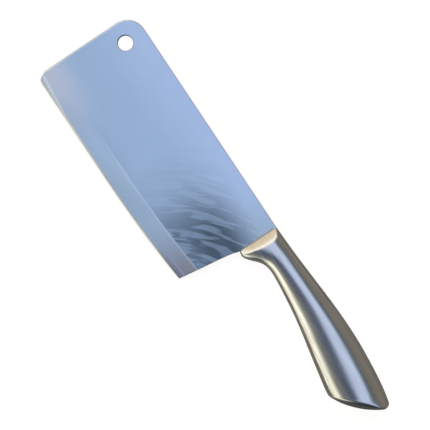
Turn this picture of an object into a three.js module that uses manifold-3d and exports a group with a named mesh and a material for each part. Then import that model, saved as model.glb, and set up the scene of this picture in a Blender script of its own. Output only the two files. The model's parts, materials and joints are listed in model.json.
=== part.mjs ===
// A meat cleaver with a hollow steel handle: a stamped blade whose tang passes through a cast bolster,
// and a grip made of two pressed half shells, closed by a domed butt cap and joined by ground-flush welds.
//
// Millimetres. +X runs from the blade's tip to the butt, +Y from the cutting edge to the spine, and +Z is
// the normal of the blade, which lies flat. Everything is drawn about the bolster's front face (x = 0), the
// spine line (y = 0) and the blade's middle plane (z = 0). The last lines set the origin under the middle.

import * as THREE from 'three';
import { mergeVertices } from 'three/addons/utils/BufferGeometryUtils.js';
import Module from 'manifold-3d';

// Blade
const BLADE_LENGTH = 168;
const BLADE_HEIGHT = 75.15;
const BLADE_THICKNESS = 2.2;
const SPINE_EASE = 0.3; // chamfer along the spine's two edges
const EDGE_STRAIGHT_TO = 92; // the cutting edge is straight from the tip to this far from the bolster
const EDGE_RISE = 3.65; // and then rises by this much
const EDGE_RISE_LENGTH = 82; // over this length, slowly at first
const EDGE_RISE_POWER = 2.27;
const GRIND_HEIGHT = 13.3; // from the edge up to the line where the flat ends
const BEVEL_HEIGHT = 0.95; // from the edge up to the line where the honed bevel begins
const BEVEL_THICKNESS = 1.1; // of the blade along that line
const EDGE_LAND = 0.15; // thickness left at the very edge
const TIP_CORNER_RADIUS = 13; // where the spine meets the tip end
const TOE_CORNER_RADIUS = 6.5; // where the cutting edge meets the tip end
const HEEL_LEAN = THREE.MathUtils.degToRad(9.2);
const HEEL_SETBACK = 0.7; // the heel starts this far in front of the bolster
const HANG_HOLE_DIAMETER = 10;
const HANG_HOLE_FROM_TIP = 14.2;
const HANG_HOLE_FROM_SPINE = 15.2;
const HANG_HOLE_CHAMFER = 0.25;

// Tang
const TANG_LENGTH = 38;
const TANG_HEIGHT = 12;
const TANG_FROM_SPINE = 3.6;
const TANG_CORNER_RADIUS = 2.5;
const TANG_SIDE_CLEARANCE = 0.1;
const TANG_END_CLEARANCE = 0.3;

// Bolster
const BOLSTER_LENGTH = 16;
const BOLSTER_HEIGHT = 29;
const BOLSTER_THICKNESS = 13.2;
const NOSE_THICKNESS = 3.8; // width of the flat front face
const NOSE_ANGLE = THREE.MathUtils.degToRad(38); // between each slanted front facet and the blade
const LOBE_DROP = 0.5; // the finger guard's lobe hangs this far below the front face
const SPIGOT_LENGTH = 7;

// Grip
const HANDLE_LENGTH = 138.4;
const NECK_HEIGHT = 19.8;
const NECK_FROM_FRONT = 25;
const NECK_RISE = 0.9; // the back has risen this far at the neck
const NECK_THICKNESS = 14;
const SPINE_HUMP = 3.5; // the grip's back rises this far above the blade's spine
const SPINE_DROOP = 5.5; // and ends this far below it
const BELLY_DROP = 32.5; // depth of the belly below the spine line at the butt
const GRIP_THICKNESS = 22;
const FRONT_FULLNESS = 2.15; // exponent of the superelliptic section: 2 is an ellipse, more is squarer
const NECK_FULLNESS = 2.3;
const GRIP_FULLNESS = 2.12;
const REAR_FULLNESS = 2.2;
const FRONT_CROWN = 0.4; // the widest place lies above the middle by this share of the half height
const NECK_CROWN = 0.19;
const GRIP_CROWN = 0.24;
const WALL = 1;
const FIT_GAP = 0.3; // between a curved face and the piece that seats on it

// Butt
const BUTT_SLANT = 27.4; // the slanted rim runs over this length of the handle
const CAP_RISE = 3.3; // the dome stands this far out from the rim
const CAP_SKIRT = 1.5; // the cap's side wall runs this far forward from the rim, to the weld
const CAP_THICKNESS = 1.3;
const CAP_LIP = 3; // the cap's lip reaches this far into the shells

// Welds
const SEAM_WIDTH = 1.4;
const RING_WELD_WIDTH = 0.8;
const BUTT_WELD_CLEARANCE = 0.1; // on each side of the slanted ring
const TANG_WELD_SIZE = 0.6;
const TANG_WELD_INSET = 2; // the tang's weld stops this far short of the bolster's front corners

// Fineness of the mesh
const RING_POINTS = 36;
const FRONT_STEPS = 20; // rings from the bolster's front to the neck
const GRIP_STEPS = 20; // from the neck to where the back turns down
const END_STEPS = 5; // and from there to the end
const ARC_STEPS = 12;
const HOLE_STEPS = 48;
const BARREL_STEPS = 72;

const wasm = await Module();
wasm.setup();

// A closed three.js geometry as a solid that can be cut and joined.
function solid(geometry) {
  const bare = geometry.clone();
  bare.deleteAttribute('normal');
  bare.deleteAttribute('uv');
  const merged = mergeVertices(bare);
  const mesh = new wasm.Mesh({
    numProp: 3,
    vertProperties: merged.attributes.position.array,
    triVerts: new Uint32Array(merged.index.array),
  });
  return new wasm.Manifold(mesh);
}

// A solid back as a three.js geometry.
function geometryOf(cut) {
  const mesh = cut.getMesh();
  const geometry = new THREE.BufferGeometry();
  geometry.setAttribute('position', new THREE.BufferAttribute(mesh.vertProperties, 3));
  geometry.setIndex(new THREE.BufferAttribute(mesh.triVerts, 1));
  geometry.computeVertexNormals();
  return geometry;
}

// A smooth curve through knots [x, y]: a natural cubic spline, straight beyond its ends.
function spline(knots) {
  const last = knots.length - 1;
  const slopeOf = (i) => (knots[i + 1][1] - knots[i][1]) / (knots[i + 1][0] - knots[i][0]);
  const upper = [0];
  const right = [0];
  for (let i = 1; i < last; i += 1) {
    const before = knots[i][0] - knots[i - 1][0];
    const after = knots[i + 1][0] - knots[i][0];
    const pivot = 2 * (before + after) - before * upper[i - 1];
    upper.push(after / pivot);
    right.push((6 * (slopeOf(i) - slopeOf(i - 1)) - before * right[i - 1]) / pivot);
  }
  const bend = new Array(last + 1).fill(0);
  for (let i = last - 1; i > 0; i -= 1) bend[i] = right[i] - upper[i] * bend[i + 1];
  return (x) => {
    const next = knots.findIndex(([knot]) => knot > x);
    const k = next < 0 ? last - 1 : Math.max(next - 1, 0);
    const width = knots[k + 1][0] - knots[k][0];
    const t = THREE.MathUtils.clamp(x, knots[0][0], knots[last][0]) - knots[k][0];
    const start = slopeOf(k) - (width * (2 * bend[k] + bend[k + 1])) / 6;
    const cubic = (bend[k + 1] - bend[k]) / (6 * width);
    const inside = knots[k][1] + t * (start + t * (bend[k] / 2 + t * cubic));
    const slope = start + t * (bend[k] + 3 * t * cubic);
    return inside + (x - knots[k][0] - t) * slope;
  };
}

// A skin over a row of rings, each a list of points with the same count, closed by a fan at each end.
function loft(rings) {
  const count = rings[0].length;
  const points = rings.flat();
  const middles = [rings[0], rings.at(-1)].map((ring) =>
    ring.reduce((sum, p) => sum.add(p), new THREE.Vector3()).divideScalar(count),
  );
  const faces = [];
  for (let j = 0; j < count; j += 1) {
    const k = (j + 1) % count;
    faces.push(points.length, k, j);
    const end = (rings.length - 1) * count;
    faces.push(points.length + 1, end + j, end + k);
    for (let row = 0; row < end; row += count) {
      faces.push(row + j, row + k, row + count + k, row + j, row + count + k, row + count + j);
    }
  }
  const geometry = new THREE.BufferGeometry().setFromPoints([...points, ...middles]);
  geometry.setIndex(faces);
  return geometry;
}

// Evenly spaced values from low to high, both included.
function steps(low, high, count) {
  return Array.from({ length: count + 1 }, (_, i) => low + ((high - low) * i) / count);
}

// A block between two opposite corners.
function block(low, high) {
  const size = new THREE.Vector3(...high).sub(new THREE.Vector3(...low));
  const geometry = new THREE.BoxGeometry(size.x, size.y, size.z);
  geometry.translate(low[0] + size.x / 2, low[1] + size.y / 2, low[2] + size.z / 2);
  return solid(geometry);
}

// A flat outline in X and Y, made as thick as asked about the middle plane.
function plate(shape, thickness) {
  const settings = { depth: thickness, bevelEnabled: false, curveSegments: ARC_STEPS };
  const geometry = new THREE.ExtrudeGeometry(shape, settings);
  geometry.translate(0, 0, -thickness / 2);
  return solid(geometry);
}

// ---- Blade ----------------------------------------------------------------------------------------------

const HALF_BLADE = BLADE_THICKNESS / 2;
const TIP_X = -BLADE_LENGTH;

// Height of the cutting edge at x.
function edgeLine(x) {
  const share = Math.max((x + EDGE_STRAIGHT_TO) / EDGE_RISE_LENGTH, 0);
  return -BLADE_HEIGHT + EDGE_RISE * share ** EDGE_RISE_POWER;
}

// The blade's section at x: eased spine, flat sides, ground taper, honed bevel.
function bladeRing(x) {
  const edge = edgeLine(x);
  const side = [
    [0, HALF_BLADE - SPINE_EASE],
    [-SPINE_EASE, HALF_BLADE],
    [edge + GRIND_HEIGHT, HALF_BLADE],
    [edge + BEVEL_HEIGHT, BEVEL_THICKNESS / 2],
    [edge, EDGE_LAND / 2],
  ];
  const other = side.map(([y, z]) => [y, -z]).reverse();
  return [...side, ...other].map(([y, z]) => new THREE.Vector3(x, y, z));
}

// What is left outside a rounded corner: cx, cy is the arc's centre, and outX and outY point to the corner.
function cornerWaste(cx, cy, radius, outX, outY) {
  const over = radius + 2;
  const arc = steps(0, Math.PI / 2, ARC_STEPS).map(
    (t) => new THREE.Vector2(cx + outX * radius * Math.cos(t), cy + outY * radius * Math.sin(t)),
  );
  const outside = [
    new THREE.Vector2(cx, cy + outY * over),
    new THREE.Vector2(cx + outX * over, cy + outY * over),
    new THREE.Vector2(cx + outX * over, cy),
  ];
  return plate(new THREE.Shape([...arc, ...outside]), 4 * BLADE_THICKNESS);
}

// Everything behind the leaning heel and below the bolster.
function heelWaste() {
  const below = -2 * BLADE_HEIGHT;
  const shape = new THREE.Shape([
    new THREE.Vector2(-HEEL_SETBACK, -BOLSTER_HEIGHT),
    new THREE.Vector2(-HEEL_SETBACK + (below + BOLSTER_HEIGHT) * Math.tan(HEEL_LEAN), below),
    new THREE.Vector2(BOLSTER_HEIGHT, below),
    new THREE.Vector2(BOLSTER_HEIGHT, -BOLSTER_HEIGHT),
  ]);
  return plate(shape, 4 * BLADE_THICKNESS);
}

// The hole's cutter, widened at both faces by its chamfer.
function hangHoleCutter() {
  const radius = HANG_HOLE_DIAMETER / 2;
  const past = HALF_BLADE + 1;
  const wide = radius + HANG_HOLE_CHAMFER + 1;
  const profile = [
    [0, -past],
    [wide, -past],
    [radius, -HALF_BLADE + HANG_HOLE_CHAMFER],
    [radius, HALF_BLADE - HANG_HOLE_CHAMFER],
    [wide, past],
    [0, past],
  ].map(([r, z]) => new THREE.Vector2(r, z));
  const geometry = new THREE.LatheGeometry(profile, HOLE_STEPS);
  geometry.rotateX(Math.PI / 2);
  geometry.translate(TIP_X + HANG_HOLE_FROM_TIP, -HANG_HOLE_FROM_SPINE, 0);
  return solid(geometry);
}

// The stub that passes through the bolster into the hollow grip.
function tang() {
  const top = -TANG_FROM_SPINE;
  const bottom = top - TANG_HEIGHT;
  const radius = TANG_CORNER_RADIUS;
  const shape = new THREE.Shape();
  shape.moveTo(-TANG_HEIGHT, bottom);
  shape.lineTo(TANG_LENGTH - radius, bottom);
  shape.absarc(TANG_LENGTH - radius, bottom + radius, radius, -Math.PI / 2, 0);
  shape.absarc(TANG_LENGTH - radius, top - radius, radius, 0, Math.PI / 2);
  shape.lineTo(-TANG_HEIGHT, top);
  return plate(shape, BLADE_THICKNESS);
}

function bladeSolid() {
  const body = solid(loft(steps(TIP_X, 0, 16).map(bladeRing)));
  const tipCorner = cornerWaste(TIP_X + TIP_CORNER_RADIUS, -TIP_CORNER_RADIUS, TIP_CORNER_RADIUS, -1, 1);
  const toeY = edgeLine(TIP_X + TOE_CORNER_RADIUS) + TOE_CORNER_RADIUS;
  const toeCorner = cornerWaste(TIP_X + TOE_CORNER_RADIUS, toeY, TOE_CORNER_RADIUS, -1, -1);
  return body
    .subtract(tipCorner)
    .subtract(toeCorner)
    .subtract(heelWaste())
    .subtract(hangHoleCutter())
    .add(tang());
}

// ---- The handle's outer form ----------------------------------------------------------------------------

const SEAT_X = BOLSTER_LENGTH; // the bolster's shoulder
const SHELL_X = SEAT_X + RING_WELD_WIDTH; // where the shells begin
const GRIP_RUN = HANDLE_LENGTH - NECK_FROM_FRONT;
const PAST_END = HANDLE_LENGTH + CAP_RISE;
const along = (share) => NECK_FROM_FRONT + share * GRIP_RUN;

// Height of the handle's back.
const spineLine = spline([
  [0, 0],
  [NECK_FROM_FRONT, NECK_RISE],
  [along(0.2), SPINE_HUMP * 0.67],
  [along(0.42), SPINE_HUMP],
  [along(0.6), SPINE_HUMP * 0.92],
  [along(0.76), SPINE_HUMP * 0.48],
  [along(0.9), -SPINE_DROOP * 0.09],
  [along(0.96), -SPINE_DROOP * 0.35],
  [along(0.985), -SPINE_DROOP * 0.6],
  [HANDLE_LENGTH, -SPINE_DROOP],
]);

// Height of the belly: the finger guard's lobe, the neck, and the long swell to the butt.
const neckBelly = NECK_RISE - NECK_HEIGHT;
const guardDrop = BOLSTER_HEIGHT + neckBelly; // how far the guard hangs below the neck
const swell = BELLY_DROP + neckBelly; // how far the belly sinks from the neck to the butt
const bellyLine = spline([
  [0, -BOLSTER_HEIGHT + LOBE_DROP],
  [NECK_FROM_FRONT * 0.12, -BOLSTER_HEIGHT],
  [NECK_FROM_FRONT * 0.25, neckBelly - guardDrop * 0.9],
  [NECK_FROM_FRONT * 0.48, neckBelly - guardDrop * 0.4],
  [NECK_FROM_FRONT * 0.62, neckBelly - guardDrop * 0.15],
  [NECK_FROM_FRONT * 0.78, neckBelly - guardDrop * 0.02],
  [NECK_FROM_FRONT, neckBelly],
  [along(0.12), neckBelly - swell * 0.09],
  [along(0.28), neckBelly - swell * 0.27],
  [along(0.5), neckBelly - swell * 0.63],
  [along(0.66), neckBelly - swell * 0.9],
  [along(0.74), -BELLY_DROP],
  [along(0.8), -BELLY_DROP],
]);

const halfThickness = spline([
  [0, BOLSTER_THICKNESS / 2],
  [BOLSTER_LENGTH, BOLSTER_THICKNESS / 2 + 0.1],
  [NECK_FROM_FRONT, NECK_THICKNESS / 2],
  [along(0.35), NECK_THICKNESS / 2 + (GRIP_THICKNESS - NECK_THICKNESS) * 0.2],
  [along(0.72), GRIP_THICKNESS / 2 - 0.4],
  [HANDLE_LENGTH, GRIP_THICKNESS / 2],
]);

const fullness = spline([
  [0, FRONT_FULLNESS],
  [NECK_FROM_FRONT * 0.32, FRONT_FULLNESS + 0.05],
  [NECK_FROM_FRONT * 0.64, NECK_FULLNESS + 0.05],
  [NECK_FROM_FRONT, NECK_FULLNESS],
  [along(0.18), GRIP_FULLNESS],
  [along(0.48), GRIP_FULLNESS],
  [along(0.73), REAR_FULLNESS],
  [HANDLE_LENGTH, REAR_FULLNESS],
]);

const crown = spline([
  [0, FRONT_CROWN],
  [NECK_FROM_FRONT * 0.24, FRONT_CROWN - 0.01],
  [NECK_FROM_FRONT * 0.48, NECK_CROWN + 0.09],
  [NECK_FROM_FRONT * 0.64, NECK_CROWN + 0.03],
  [NECK_FROM_FRONT, NECK_CROWN],
  [along(0.22), GRIP_CROWN - 0.01],
  [HANDLE_LENGTH, GRIP_CROWN],
]);

// The handle's section at x, moved inwards by inset: two half superellipses that meet at the crown.
function handleRing(x, inset) {
  const middle = (spineLine(x) - bellyLine(x)) / 2;
  const widest = bellyLine(x) + middle * (1 + crown(x));
  const power = 2 / fullness(x);
  const half = halfThickness(x) - inset;
  return Array.from({ length: RING_POINTS }, (_, i) => {
    const t = (i / RING_POINTS) * 2 * Math.PI;
    const rise = Math.sign(Math.cos(t)) * Math.abs(Math.cos(t)) ** power;
    const out = Math.sign(Math.sin(t)) * Math.abs(Math.sin(t)) ** power;
    const tiny = 1e-9;
    const reach = middle * (1 - Math.sign(rise) * crown(x)) - inset;
    const y = widest + (Math.abs(rise) > tiny ? rise : 0) * reach;
    return new THREE.Vector3(x, y, (Math.abs(out) > tiny ? out : 0) * half);
  });
}

// Every form of the handle has its rings at the same places, so that nested forms keep their clearance.
const ringPlaces = [
  ...steps(0, NECK_FROM_FRONT, FRONT_STEPS),
  ...steps(NECK_FROM_FRONT, along(0.9), GRIP_STEPS),
  ...steps(along(0.9), HANDLE_LENGTH, END_STEPS),
];

// The handle between two places along it, inset all round.
function handleForm(from, to, inset) {
  const apart = (x, i, all) => i === 0 || x - all[i - 1] > 0.01;
  const between = ringPlaces.filter((x) => x > from + 0.01 && x < to - 0.01).filter(apart);
  return solid(loft([from, ...between, to].map((x) => handleRing(x, inset))));
}

// ---- Bolster --------------------------------------------------------------------------------------------

// The two slanted facets that lead from the blade out to the handle's full thickness.
function noseForm() {
  const reach = 2 * BOLSTER_LENGTH;
  const front = NOSE_THICKNESS / 2;
  const back = front + reach * Math.tan(NOSE_ANGLE);
  const shape = new THREE.Shape([
    new THREE.Vector2(0, -front),
    new THREE.Vector2(reach, -back),
    new THREE.Vector2(reach, back),
    new THREE.Vector2(0, front),
  ]);
  const depth = 4 * BOLSTER_HEIGHT;
  const geometry = new THREE.ExtrudeGeometry(shape, { depth, bevelEnabled: false });
  geometry.translate(0, 0, -depth / 2);
  geometry.rotateX(Math.PI / 2);
  return solid(geometry);
}

function bolsterSolid() {
  const head = handleForm(0, SEAT_X, 0).intersect(noseForm());
  const spigot = handleForm(SEAT_X - 1, SEAT_X + SPIGOT_LENGTH, WALL + FIT_GAP);
  const slotTop = -TANG_FROM_SPINE + TANG_END_CLEARANCE;
  const slotHalf = HALF_BLADE + TANG_SIDE_CLEARANCE;
  const slotBottom = slotTop - TANG_HEIGHT - 2 * TANG_END_CLEARANCE;
  const slot = block([-1, slotBottom, -slotHalf], [SEAT_X + SPIGOT_LENGTH + 1, slotTop, slotHalf]);
  return head.add(spigot).subtract(slot);
}

// ---- Grip -----------------------------------------------------------------------------------------------

// The rim round the dome lies in a slanted plane, from the back's end to the belly.
const rimTop = new THREE.Vector2(HANDLE_LENGTH, spineLine(HANDLE_LENGTH));
const rimBottom = new THREE.Vector2(HANDLE_LENGTH - BUTT_SLANT, bellyLine(HANDLE_LENGTH - BUTT_SLANT));
const rimMiddle = rimTop.clone().add(rimBottom).divideScalar(2);
const rimHalf = rimTop.distanceTo(rimMiddle);
const rimAngle = rimTop.clone().sub(rimBottom).angle() - Math.PI / 2; // of the rim plane's outward normal

// Radius of the arc that rises by CAP_RISE over a chord of twice half.
function arcRadius(half) {
  return (half ** 2 + CAP_RISE ** 2) / (2 * CAP_RISE);
}

// Places a solid drawn with the rim's middle at x = 0, facing +X, onto the handle's end.
function ontoButt(geometry) {
  geometry.rotateZ(rimAngle);
  geometry.translate(rimMiddle.x, rimMiddle.y, 0);
  return solid(geometry);
}

// All that lies beyond the rim plane, the plane itself being moved outwards by shift.
function beyondRim(shift) {
  const size = 4 * rimHalf;
  const geometry = new THREE.BoxGeometry(size, size, size);
  geometry.translate(size / 2 + shift, 0, 0);
  return ontoButt(geometry);
}

// All that lies inside the dome, moved inwards by inset: a barrel, curved both along the rim and across it.
function insideDome(inset) {
  const arc = arcRadius(rimHalf);
  const crown = arcRadius(GRIP_THICKNESS / 2);
  const tall = GRIP_THICKNESS / 2 + 1;
  const side = steps(-tall, tall, 2 * ARC_STEPS).map((z) => [
    arc - crown + Math.sqrt((crown - inset) ** 2 - z ** 2),
    z,
  ]);
  const profile = [[0, -tall], ...side, [0, tall]].map(([r, z]) => new THREE.Vector2(r, z));
  const barrel = new THREE.LatheGeometry(profile, BARREL_STEPS);
  barrel.rotateX(Math.PI / 2);
  barrel.translate(CAP_RISE - arc, 0, 0);
  return ontoButt(barrel);
}

// Places of the joint between shells and cap, measured outwards from the rim plane.
const CAP_START = -CAP_SKIRT;
const WELD_END = CAP_START - BUTT_WELD_CLEARANCE;
const WELD_START = WELD_END - RING_WELD_WIDTH;
const SHELL_END = WELD_START - BUTT_WELD_CLEARANCE;

// The hollow grip's wall, which runs on past the rim.
const outerForm = handleForm(SHELL_X, PAST_END, 0);
const innerForm = handleForm(SHELL_X - 1, PAST_END + 1, WALL);
const wall = outerForm.subtract(innerForm);
const shellWall = wall.subtract(beyondRim(SHELL_END));

// A slab across the whole grip between two heights over the blade's middle plane.
function level(low, high, y = [-BLADE_HEIGHT, BLADE_HEIGHT]) {
  return block([0, y[0], low], [2 * HANDLE_LENGTH, y[1], high]);
}

function halfShell(side) {
  const span = side > 0 ? [SEAM_WIDTH / 2, GRIP_THICKNESS] : [-GRIP_THICKNESS, -SEAM_WIDTH / 2];
  return shellWall.intersect(level(...span));
}

// The strip of weld metal that closes the two half shells, along the back or along the belly.
function seamWeld(side) {
  const middle = (spineLine(SHELL_X) + bellyLine(SHELL_X)) / 2;
  const y = side > 0 ? [middle, BLADE_HEIGHT] : [-BLADE_HEIGHT, middle];
  return shellWall.intersect(level(-SEAM_WIDTH / 2, SEAM_WIDTH / 2, y));
}

function bolsterRingWeld() {
  const outer = handleForm(SEAT_X, SHELL_X, 0);
  const inner = handleForm(SEAT_X - 1, SHELL_X + 1, WALL);
  return outer.subtract(inner);
}

function buttRingWeld() {
  return wall.intersect(beyondRim(WELD_START)).subtract(beyondRim(WELD_END));
}

// A domed plate over the grip's end, with a lip that locates it inside the shells.
function buttCap() {
  const hollow = innerForm.intersect(insideDome(CAP_THICKNESS));
  const dome = outerForm.intersect(insideDome(0)).intersect(beyondRim(CAP_START)).subtract(hollow);
  const lipOuter = handleForm(SHELL_X, PAST_END, WALL + FIT_GAP);
  const lipInner = handleForm(SHELL_X - 1, PAST_END + 1, 2 * WALL + FIT_GAP);
  const tube = lipOuter.subtract(lipInner);
  const lip = tube.intersect(insideDome(CAP_THICKNESS / 2)).intersect(beyondRim(SHELL_END - CAP_LIP));
  return dome.add(lip);
}

// ---- The fillet of weld metal between the blade's side and the bolster's front face ----------------------

function tangWeld(side) {
  const shape = new THREE.Shape();
  shape.moveTo(0, 0);
  shape.lineTo(-TANG_WELD_SIZE, 0);
  shape.absarc(-TANG_WELD_SIZE, TANG_WELD_SIZE, TANG_WELD_SIZE, -Math.PI / 2, 0);
  const depth = BOLSTER_HEIGHT - 2 * TANG_WELD_INSET;
  const geometry = new THREE.ExtrudeGeometry(shape, { depth, bevelEnabled: false, curveSegments: 4 });
  geometry.rotateX(Math.PI / 2);
  geometry.translate(0, -TANG_WELD_INSET, HALF_BLADE);
  const bead = solid(geometry);
  return side > 0 ? bead : bead.mirror([0, 0, 1]);
}

// ---- Assembly -------------------------------------------------------------------------------------------

const bladeSteel = new THREE.MeshStandardMaterial({ color: 0xa3b4cf, roughness: 0.3, metalness: 1 });
const handleSteel = new THREE.MeshStandardMaterial({ color: 0xb1ada4, roughness: 0.28, metalness: 1 });
const weldSteel = new THREE.MeshStandardMaterial({ color: 0xa8a296, roughness: 0.4, metalness: 1 });

function piece(name, cut, material) {
  const mesh = new THREE.Mesh(geometryOf(cut), material);
  mesh.name = name;
  return mesh;
}

const cleaver = new THREE.Group();
cleaver.add(
  piece('blade', bladeSolid(), bladeSteel),
  piece('bolster', bolsterSolid(), handleSteel),
  piece('handle_shell_left', halfShell(1), handleSteel),
  piece('handle_shell_right', halfShell(-1), handleSteel),
  piece('butt_cap', buttCap(), handleSteel),
  piece('spine_seam_weld', seamWeld(1), weldSteel),
  piece('belly_seam_weld', seamWeld(-1), weldSteel),
  piece('bolster_ring_weld', bolsterRingWeld(), weldSteel),
  piece('butt_ring_weld', buttRingWeld(), weldSteel),
  piece('tang_weld_left', tangWeld(1), weldSteel),
  piece('tang_weld_right', tangWeld(-1), weldSteel),
);

// The origin lies under the middle of the object, at the height of its lowest point.
const box = new THREE.Box3().setFromObject(cleaver);
const middle = box.getCenter(new THREE.Vector3());
cleaver.position.set(-middle.x, -middle.y, -box.min.z);

export default cleaver;
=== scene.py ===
# %% [markdown]
# A steel cleaver with a hollow handle. The real one is a stamped and ground blade, a cast bolster, two
# pressed half shells welded into a grip, and a domed cap on the slanted butt. Each piece is made here on its
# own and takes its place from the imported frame, so the first step is to load that.

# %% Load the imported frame
import json
import math

import bmesh
import bpy
import numpy as np
from mathutils import Matrix, Vector

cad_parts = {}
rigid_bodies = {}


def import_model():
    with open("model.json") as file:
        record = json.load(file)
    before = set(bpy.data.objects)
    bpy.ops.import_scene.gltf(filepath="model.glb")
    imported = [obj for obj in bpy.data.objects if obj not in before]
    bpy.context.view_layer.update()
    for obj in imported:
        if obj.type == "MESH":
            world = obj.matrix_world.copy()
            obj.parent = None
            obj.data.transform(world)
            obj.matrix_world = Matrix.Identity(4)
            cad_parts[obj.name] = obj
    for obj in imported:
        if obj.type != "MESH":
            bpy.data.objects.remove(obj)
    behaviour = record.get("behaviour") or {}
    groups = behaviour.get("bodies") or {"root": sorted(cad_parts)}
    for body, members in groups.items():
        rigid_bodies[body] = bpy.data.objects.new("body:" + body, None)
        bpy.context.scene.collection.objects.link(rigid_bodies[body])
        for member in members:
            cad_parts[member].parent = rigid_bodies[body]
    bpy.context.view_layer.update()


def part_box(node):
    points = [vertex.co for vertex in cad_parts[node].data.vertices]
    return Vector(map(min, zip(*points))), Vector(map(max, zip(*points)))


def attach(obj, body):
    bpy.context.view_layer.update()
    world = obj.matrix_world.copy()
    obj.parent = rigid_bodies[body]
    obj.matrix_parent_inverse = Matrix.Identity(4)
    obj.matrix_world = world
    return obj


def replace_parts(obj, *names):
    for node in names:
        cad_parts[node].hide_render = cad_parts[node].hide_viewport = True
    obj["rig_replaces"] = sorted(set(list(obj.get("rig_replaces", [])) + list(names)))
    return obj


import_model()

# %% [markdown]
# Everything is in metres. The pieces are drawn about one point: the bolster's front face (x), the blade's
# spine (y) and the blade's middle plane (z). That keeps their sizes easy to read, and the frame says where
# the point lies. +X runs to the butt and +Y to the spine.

blade_low, blade_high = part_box("blade")
ORIGIN = Vector((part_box("bolster")[0].x, blade_high.y, (blade_low.z + blade_high.z) / 2))
print("drawing origin:", [round(v, 5) for v in ORIGIN], "blade from x =", round(blade_low.x, 4))

# %% [markdown]
# Some sizes are shared, because pieces that meet have to agree on them. The handle's shape is a few values
# that change along it, and a natural cubic spline through given points gives each without a kink.

# %% Sizes that the pieces share
MM = 0.001
BLADE_LENGTH = ORIGIN.x - blade_low.x
BLADE_HALF = (blade_high.z - blade_low.z) / 2
HANDLE_LENGTH = 138.4 * MM
BOLSTER_LENGTH = 16 * MM
RING_WELD = 0.8 * MM
SEAM_HALF = 0.7 * MM
WALL = 1 * MM
FIT_GAP = 0.3 * MM
BUTT_SLANT = 27.4 * MM  # the slanted rim runs over this length
NECK = 25 * MM  # the sections stand upright up to here
LEAN_POWER = 1.6  # how late the lean begins
TURN = 2 * math.pi
print("blade", round(BLADE_LENGTH / MM, 1), "mm long and", round(2 * BLADE_HALF / MM, 2), "mm thick")


def spline(knots):
    """A natural cubic spline through (x, y) points, straight beyond its ends."""
    x, y = np.array(knots, float).T
    n = len(x)
    h = np.diff(x)
    slopes = np.diff(y) / h
    system = np.eye(n)
    right = np.zeros(n)
    for i in range(1, n - 1):
        system[i, i - 1 : i + 2] = h[i - 1], 2 * (h[i - 1] + h[i]), h[i]
        right[i] = 6 * (slopes[i] - slopes[i - 1])
    bend = np.linalg.solve(system, right)

    def value(at):
        at = np.asarray(at, float)
        k = np.clip(np.searchsorted(x, at, side="right") - 1, 0, n - 2)
        t = np.clip(at, x[0], x[-1]) - x[k]
        start = slopes[k] - h[k] * (2 * bend[k] + bend[k + 1]) / 6
        cubic = (bend[k + 1] - bend[k]) / (6 * h[k])
        inside = y[k] + t * (start + t * (bend[k] / 2 + t * cubic))
        slope = start + t * (bend[k] + 3 * t * cubic)
        return inside + (at - x[k] - t) * slope

    return value


def in_mm(*points):
    return [(a * MM, b * MM) for a, b in points]


# %% [markdown]
# Two outlines show the handle from its side: the back, nearly straight, and the belly, which drops into the
# finger guard, rises to the neck and swells again. Three more values give the half thickness, how square a
# section is, and how far its crown lies above the middle.

# %% The handle's outlines, thickness and section
back_line = spline(in_mm(
    (0, 0), (25, 0.9), (47.7, 2.35), (72.6, 3.5), (93, 3.2), (111.2, 1.7),
    (127, -0.5), (133.9, -1.95), (136.7, -3.3), (138.4, -5.5),
))
belly_line = spline(in_mm(
    (0, -28.5), (3, -29.1), (6.2, -27.9), (12, -22.9), (15.5, -20.4), (19.5, -19.1), (25, -18.9),
    (38.6, -20.1), (56.8, -22.6), (81.7, -27.5), (99.8, -31.1), (108.9, -32.5), (115.7, -32.5),
))
half_thickness = spline(in_mm((0, 6.6), (16, 6.7), (25, 7), (64.7, 8.6), (106.6, 10.6), (138.4, 11)))
fullness = spline([
    (0, 2.15), (8 * MM, 2.2), (16 * MM, 2.35), (25 * MM, 2.3), (45 * MM, 2.12), (80 * MM, 2.12),
    (108 * MM, 2.2), (HANDLE_LENGTH, 2.2),
])
crown_shift = spline([
    (0, 0.40), (6 * MM, 0.39), (12 * MM, 0.28), (16 * MM, 0.22), (25 * MM, 0.19), (50 * MM, 0.23),
    (HANDLE_LENGTH, 0.24),
])
along_handle = np.linspace(0, HANDLE_LENGTH, 200)
print("back rises to", round(back_line(along_handle).max() / MM, 2), "mm; belly falls to",
      round(belly_line(along_handle).min() / MM, 2), "mm")


# %% [markdown]
# Each section of the handle is hung between the back and the belly. At the neck the sections stand upright,
# and towards the butt they lean, until the last one lies in the plane of the slanted rim. A section is a
# superellipse: an exponent of 2 is an ellipse, and more makes it squarer. Its upper and lower halves have
# their own heights, which puts the crown a little above the middle, as it is on the real grip.

# %% Sections of the handle
def lean(s):
    """How far the section's foot stays behind its top."""
    share = np.clip((s - NECK) / (HANDLE_LENGTH - NECK), 0, 1)
    return BUTT_SLANT * share**LEAN_POWER


def rails(s):
    """The section's top and foot, as (x, y) pairs."""
    foot = s - lean(s)
    return np.stack([s, back_line(s)], -1), np.stack([foot, belly_line(foot)], -1)


def signed_power(value, power):
    return np.sign(value) * np.abs(value) ** power


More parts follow.
